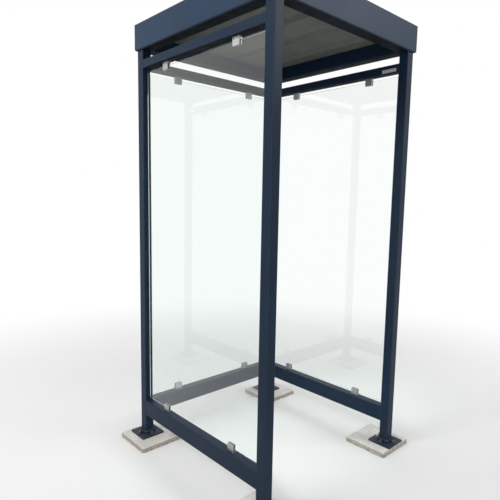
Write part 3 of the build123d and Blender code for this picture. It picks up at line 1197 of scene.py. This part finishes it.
class SHELTER_OT_add_welds(bpy.types.Operator):
    """Run painted weld beads round the rail ends and the feet of the posts"""

    bl_idname = "shelter.add_welds"
    bl_label = "Add Welds"

    def execute(self, context):
        sizes = context.scene.shelter_fasteners
        corner_cut, from_post, inside_face, inside_top = 0.004, 0.0004, 0.0012, 0.0002
        loops = []
        for row in ("bottom", "top"):
            for side in GLAZED_SIDES:
                low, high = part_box(f"{row}_rail_{side}")
                outward = OUTWARD[side]
                along = UP.cross(outward)
                middle, reach = (low + high) / 2, (high - low) / 2
                half = abs(reach.dot(along)) - from_post
                deep = abs(reach.dot(outward)) - inside_face
                tall = reach.z - inside_top
                for sign in (-1, 1):
                    end = middle + along * half * sign
                    loops.append([end + outward * deep * a + UP * tall * b for a, b in SQUARE])
        for corner in CORNERS:
            collar_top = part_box(f"base_plate_{corner}")[1].z
            low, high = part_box(f"post_{corner}")
            middle, half = (low + high) / 2, (high.x - low.x) / 2
            loops.append([Vector((middle.x + half * a, middle.y + half * b, collar_top)) for a, b in SQUARE])
        values = {
            "Bead Radius": sizes.weld_leg, "Ripple": sizes.weld_ripple, "Ripple Height": 0.09, "Seed": 5,
            "Finish": bpy.data.materials["Frame powder coat"],
        }
        grown("weld_beads", line_mesh(loops, corner_cut), weld_tree(), values)
        return {"FINISHED"}


class SHELTER_OT_add_label(bpy.types.Operator):
    """Rivet a bare plate to the inside of the right top rail"""

    bl_idname = "shelter.add_label"
    bl_label = "Add Label Plate"

    def execute(self, context):
        sizes = context.scene.shelter_fasteners
        metal = metal_material(
            "Label plate metal", tuple(context.scene.shelter_metal.label_colour),
            roughness=0.4, mottle=0.04, relief=0.00001, brushed=(1.0, 0.05, 1.0))
        from_post, below_middle, thickness = 0.015, 0.009, 0.0015
        rivet_width, rivet_inset = 0.005, 0.005
        low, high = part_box("top_rail_right")
        middle = Vector((
            low.x, low.y + from_post + sizes.label_length / 2, (low.z + high.z) / 2 - below_middle))
        mesh = label_mesh(middle, sizes.label_length, sizes.label_height, thickness)
        mesh.materials.append(metal)
        piece = placed("label_plate", mesh)
        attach(piece, "root")
        face = Vector((middle.x - thickness, middle.y, middle.z))
        reach = sizes.label_length / 2 - rivet_inset
        rows = [(face + Vector((0, reach * sign, 0)), OUTWARD["left"]) for sign in (-1, 1)]
        fastened("label_rivets", rivet_mesh(rivet_width), rows, metal, {"Seed": 41})
        return {"FINISHED"}


class SHELTER_OT_set_stage(bpy.types.Operator):
    """Build the pale floor, the soft lamps, the white surroundings and the camera"""

    bl_idname = "shelter.set_stage"
    bl_label = "Set Stage"

    def execute(self, context):
        stage = context.scene.shelter_stage
        self.lay_floor(context, stage)
        self.light_room(context, stage)
        self.hang_lamps(context)
        self.set_camera(context, stage)
        context.scene.view_settings.view_transform = "Standard"
        return {"FINISHED"}

    def lay_floor(self, context, stage):
        """A round pale floor that turns white far out, so that no horizon shows."""
        below_blocks, pale_reach, white_reach = 0.0005, 1.3, 4.6
        disc = bmesh.new()
        bmesh.ops.create_circle(disc, cap_ends=True, segments=96, radius=stage.floor_radius)
        mesh = mesh_from(disc, "floor")
        mesh.transform(Matrix.Translation((0, 0, -below_blocks)))
        floor = placed("floor", mesh)
        material, bench, shader = start_material("Pale floor", Roughness=0.75, Specular_IOR_Level=0.25)
        colour = tuple(stage.floor_colour)
        patches = bench.effect("Soft Patches", Scale=1.2, Detail=3.0)
        tone = bench.tint(patches, shade(colour, 0.992), shade(colour, 1.008))
        bench.feed(shader.inputs["Base Color"], tone)
        away = bench.filled("ShaderNodeVectorMath", {0: bench.place()}, operation="LENGTH").outputs["Value"]
        share = bench.times(bench.span(away, pale_reach, white_reach), self.background_rays(bench))
        white = bench.filled("ShaderNodeEmission", {"Color": (1, 1, 1, 1), "Strength": 1.0})
        mixed = bench.filled("ShaderNodeMixShader", {0: share, 1: shader.outputs[0], 2: white.outputs[0]})
        bench.feed(material.node_tree.nodes["Material Output"].inputs["Surface"], mixed.outputs[0])
        mesh.materials.append(material)

    def background_rays(self, bench):
        """1 for rays that show the surroundings: to the camera, mirrored or through glass."""
        path = bench.add("ShaderNodeLightPath").outputs
        seen = bench.sum("MAXIMUM", path["Is Camera Ray"], path["Is Glossy Ray"])
        return bench.sum("MAXIMUM", seen, path["Is Transmission Ray"])

    def light_room(self, context, stage):
        """White surroundings to look at, and an even light of the given strength."""
        world = context.scene.world or bpy.data.worlds.new("Room")
        context.scene.world = world
        world.use_nodes = True
        bench = Bench(world.node_tree)
        background = world.node_tree.nodes["Background"].inputs
        background["Color"].default_value = (1, 1, 1, 1)
        strength = bench.span(self.background_rays(bench), 0.0, 1.0, stage.room_light, 1.0)
        bench.feed(background["Strength"], strength)

    def hang_lamps(self, context):
        """Three broad soft lamps: one on the left, a weaker one in front and a faint one behind."""
        rows = (
            ("front_lamp", (3.0, -3.9, 4.5), 2.4, 78.0),
            ("left_lamp", (-4.3, 0.5, 4.3), 2.2, 120.0),
            ("rear_lamp", (1.2, 4.0, 4.8), 3.0, 25.0),
        )
        aim = Vector((0, 0, 1.2))
        for name, place, size, power in rows:
            lamp = bpy.data.lights.new(name, "AREA")
            lamp.shape = "DISK"
            lamp.size = size
            lamp.energy = power
            holder = bpy.data.objects.new(name, lamp)
            holder.location = place
            holder.rotation_euler = (Vector(place) - aim).to_track_quat("Z", "Y").to_euler()
            holder.visible_camera = False
            holder.visible_transmission = False
            context.scene.collection.objects.link(holder)

    def set_camera(self, context, stage):
        """A camera where the shelter was seen from."""
        lens = bpy.data.cameras.new("camera")
        lens.sensor_width = 36.0
        lens.lens = stage.lens
        lens.shift_x, lens.shift_y = stage.camera_shift
        camera = bpy.data.objects.new("camera", lens)
        camera.location = stage.camera_place
        camera.rotation_euler = stage.camera_turn
        context.scene.collection.objects.link(camera)
        context.scene.camera = camera


class SHELTER_PT_panel(bpy.types.Panel):
    """Settings and steps of the shelter"""

    bl_idname = "SHELTER_PT_panel"
    bl_label = "Ticket Machine Shelter"
    bl_space_type = "VIEW_3D"
    bl_region_type = "UI"
    bl_category = "Shelter"

    def draw(self, context):
        for title, name, _ in SETTINGS:
            box = self.layout.box()
            box.label(text=title)
            group = getattr(context.scene, name)
            for key in group.bl_rna.properties.keys():
                if key not in ("rna_type", "name"):
                    box.prop(group, key)
        for step in STEPS:
            self.layout.operator(step.bl_idname)


SETTINGS = (
    ("Paint", "shelter_paint", ShelterPaintSettings),
    ("Glass, rubber and concrete", "shelter_mineral", ShelterMineralSettings),
    ("Bare metal", "shelter_metal", ShelterMetalSettings),
    ("Fasteners", "shelter_fasteners", ShelterFastenerSettings),
    ("Stage", "shelter_stage", ShelterStageSettings),
)
STEPS = (
    SHELTER_OT_coat_frame,
    SHELTER_OT_coat_roof,
    SHELTER_OT_glaze,
    SHELTER_OT_finish_clamps,
    SHELTER_OT_cast_blocks,
    SHELTER_OT_add_anchors,
    SHELTER_OT_add_clamp_screws,
    SHELTER_OT_add_deck_screws,
    SHELTER_OT_add_welds,
    SHELTER_OT_add_label,
    SHELTER_OT_set_stage,
)


def register():
    """Register the settings, the steps and the panel."""
    for _, name, group in SETTINGS:
        bpy.utils.register_class(group)
        setattr(bpy.types.Scene, name, PointerProperty(type=group))
    for step in STEPS:
        bpy.utils.register_class(step)
    bpy.utils.register_class(SHELTER_PT_panel)


def unregister():
    """Take the settings, the steps and the panel away again."""
    bpy.utils.unregister_class(SHELTER_PT_panel)
    for step in reversed(STEPS):
        bpy.utils.unregister_class(step)
    for _, name, group in SETTINGS:
        delattr(bpy.types.Scene, name)
        bpy.utils.unregister_class(group)


def main():
    """Finish the shelter step by step."""
    register()
    build_effects()
    for step in STEPS:
        family, name = step.bl_idname.split(".")
        getattr(getattr(bpy.ops, family), name)()


if __name__ == "__main__":
    main()
